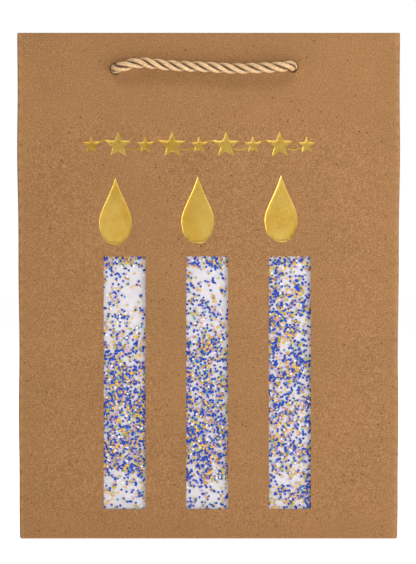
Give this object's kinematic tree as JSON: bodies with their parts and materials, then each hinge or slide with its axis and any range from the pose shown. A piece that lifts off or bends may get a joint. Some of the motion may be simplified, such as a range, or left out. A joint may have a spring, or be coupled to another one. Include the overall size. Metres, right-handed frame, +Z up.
{
  "type": "gift bag",
  "caption": "Upright kraft paper gift bag with candle-shaped confetti windows, gold foil flames and twisted cord handles.",
  "frame": {"origin": "middle of the base, on the surface that the bag stands on", "axes": "+Z up, the bag's height; the front with the windows faces -Y; +X is to the right seen from the front"},
  "size_m": [0.1824, 0.0968, 0.24],
  "materials": {
    "kraft_paper": "matte",
    "grey_board": "matte",
    "white_card": "matte",
    "clear_film": "gloss",
    "confetti": "satin",
    "gold_foil": "satin",
    "cord": "satin"
  },
  "bodies": {
    "bag": {"front_panel": "kraft_paper", "back_panel": "kraft_paper", "left_gusset": "kraft_paper", "right_gusset": "kraft_paper", "left_hem": "kraft_paper", "right_hem": "kraft_paper", "front_hem": "kraft_paper", "rear_hem": "kraft_paper", "glue_seam": "kraft_paper", "base_flap_front": "kraft_paper", "base_flap_rear": "kraft_paper", "base_flap_left": "kraft_paper", "base_flap_right": "kraft_paper", "front_top_card": "grey_board", "rear_top_card": "grey_board", "left_window_film": "clear_film", "left_window_tray": "white_card", "left_flame_foil": "gold_foil", "middle_window_film": "clear_film", "middle_window_tray": "white_card", "middle_flame_foil": "gold_foil", "right_window_film": "clear_film", "right_window_tray": "white_card", "right_flame_foil": "gold_foil", "foil_garland": "gold_foil", "front_cord_left_half": "cord", "front_cord_left_tail": "cord", "front_cord_right_half": "cord", "front_cord_right_tail": "cord", "rear_cord_left_half": "cord", "rear_cord_left_tail": "cord", "rear_cord_right_half": "cord", "rear_cord_right_tail": "cord"},
    "front_handle": {"front_cord_middle": "cord"},
    "front_knots": {"front_cord_left_knot": "cord", "front_cord_right_knot": "cord"},
    "rear_handle": {"rear_cord_middle": "cord"},
    "rear_knots": {"rear_cord_left_knot": "cord", "rear_cord_right_knot": "cord"},
    "base_board": {"base_card": "grey_board"},
    "left_confetti_layer": {"left_confetti": "confetti"},
    "middle_confetti_layer": {"middle_confetti": "confetti"},
    "right_confetti_layer": {"right_confetti": "confetti"}
  },
  "joints": [
    {"name": "front_handle_pull", "type": "slide", "parent": "bag", "child": "front_handle", "axis": [0, 0, 1], "range_m": [0, 0.05], "deforming": ["front_cord_left_half", "front_cord_right_half"]},
    {"name": "front_knots_rise", "type": "slide", "parent": "bag", "child": "front_knots", "axis": [0, 0, 1], "range_m": [0, 0.0235], "deforming": ["front_cord_left_tail", "front_cord_right_tail"]},
    {"name": "rear_handle_pull", "type": "slide", "parent": "bag", "child": "rear_handle", "axis": [0, 0, 1], "range_m": [0, 0.05], "deforming": ["rear_cord_left_half", "rear_cord_right_half"]},
    {"name": "rear_knots_rise", "type": "slide", "parent": "bag", "child": "rear_knots", "axis": [0, 0, 1], "range_m": [0, 0.0235], "deforming": ["rear_cord_left_tail", "rear_cord_right_tail"]},
    {"name": "base_card_tip", "type": "hinge", "parent": "bag", "child": "base_board", "pos_m": [0, 0.0374, 0.0015], "axis": [-1, 0, 0], "range_deg": [0, 80]},
    {"name": "left_confetti_shift", "type": "slide", "parent": "bag", "child": "left_confetti_layer", "axis": [0, 0, 1], "range_m": [0, 0.005]},
    {"name": "middle_confetti_shift", "type": "slide", "parent": "bag", "child": "middle_confetti_layer", "axis": [0, 0, 1], "range_m": [0, 0.005]},
    {"name": "right_confetti_shift", "type": "slide", "parent": "bag", "child": "right_confetti_layer", "axis": [0, 0, 1], "range_m": [0, 0.005]}
  ],
  "couplings": [
    {"joint": "front_knots_rise", "follows": "front_handle_pull", "ratio": 0.466},
    {"joint": "rear_knots_rise", "follows": "rear_handle_pull", "ratio": 0.466}
  ]
}
